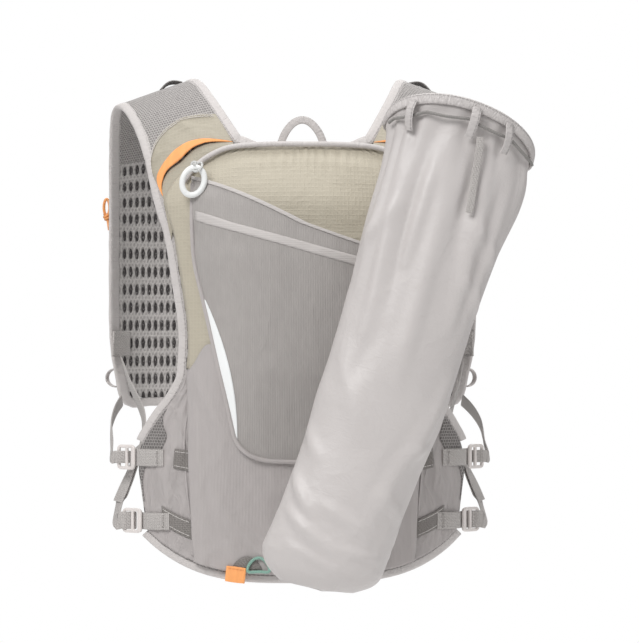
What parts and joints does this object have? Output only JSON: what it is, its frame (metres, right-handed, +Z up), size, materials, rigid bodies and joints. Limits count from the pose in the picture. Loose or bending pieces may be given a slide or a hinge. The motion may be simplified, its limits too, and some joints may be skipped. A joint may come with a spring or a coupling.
{
  "type": "running hydration vest",
  "caption": "Lightweight running vest with a full back bag, slanted stash pocket, chest flask pockets, strap adjusters and a pole quiver slung across the back.",
  "frame": {"origin": "midway between the undersides of the two shoulder straps, at the top of the wearer's shoulders", "axes": "+Z up the wearer, +Y the way the wearer faces, +X to the wearer's right"},
  "size_m": [0.3366, 0.3269, 0.4175],
  "materials": {
    "spacer_mesh": "open spacer mesh, dull",
    "ripstop": "khaki ripstop with a fine grid, slight sheen",
    "stretch_weave": "light grey ribbed stretch cloth, dull",
    "ribbed_weave": "darker grey ribbed stretch cloth, dull",
    "net": "fine grey net, dull",
    "binding_tape": "pale grey folded tape, dull",
    "webbing": "woven webbing, dull",
    "dark_webbing": "dark elastic webbing, dull",
    "pale_plastic": "pale grey moulded plastic, satin",
    "grey_plastic": "grey moulded plastic, satin",
    "coated_cloth": "smooth coated cloth with a soft sheen",
    "orange_cloth": "bright orange cloth, dull",
    "teal_cord": "teal braided cord",
    "ring_rubber": "pale soft rubber, satin",
    "grey_cord": "dark grey braided cord"
  },
  "bodies": {
    "root": {"back_panel": "spacer_mesh", "front_panel_left": "spacer_mesh", "front_panel_right": "spacer_mesh", "main_bag": "ripstop", "shoulder_patch_left": "ripstop", "shoulder_patch_right": "ripstop", "lower_panel": "stretch_weave", "wing_left": "stretch_weave", "wing_right": "stretch_weave", "front_pocket_left": "stretch_weave", "front_pocket_right": "stretch_weave", "stash_pocket": "ribbed_weave", "shoulder_strap_left": "net", "shoulder_strap_right": "net", "neck_binding_left": "binding_tape", "neck_binding_right": "binding_tape", "arm_binding_left": "binding_tape", "arm_binding_right": "binding_tape", "hem_binding": "binding_tape", "bag_piping": "binding_tape", "haul_loop": "binding_tape", "edge_loop_left": "binding_tape", "edge_loop_right": "binding_tape", "side_strap_upper_left": "webbing", "side_strap_upper_right": "webbing", "side_strap_lower_left": "webbing", "side_strap_lower_right": "webbing", "wing_tab_upper_left": "webbing", "wing_tab_upper_right": "webbing", "wing_tab_lower_left": "webbing", "wing_tab_lower_right": "webbing", "strap_tab_left": "webbing", "strap_tab_right": "webbing", "sternum_strap_upper": "webbing", "sternum_strap_lower": "webbing", "quiver_hanger_upper": "webbing", "hose_loop_left": "dark_webbing", "hose_loop_right": "dark_webbing", "ladder_lock_upper_left": "pale_plastic", "ladder_lock_upper_right": "pale_plastic", "ladder_lock_lower_left": "pale_plastic", "ladder_lock_lower_right": "pale_plastic", "sternum_clasp_upper": "grey_plastic", "sternum_clasp_lower": "grey_plastic", "quiver_tube": "coated_cloth", "quiver_base": "coated_cloth", "quiver_rim": "coated_cloth", "quiver_loop_left": "coated_cloth", "quiver_loop_middle": "coated_cloth", "quiver_loop_right": "coated_cloth", "quiver_tail": "coated_cloth", "orange_hem_left": "orange_cloth", "orange_hem_right": "orange_cloth", "hem_tab": "orange_cloth", "cord_loop_left": "orange_cloth", "hem_cord": "teal_cord", "zip_ring": "ring_rubber", "ring_cord": "grey_cord", "quiver_drawcord": "grey_cord", "quiver_hanger_lower": "grey_cord"}
  },
  "joints": []
}
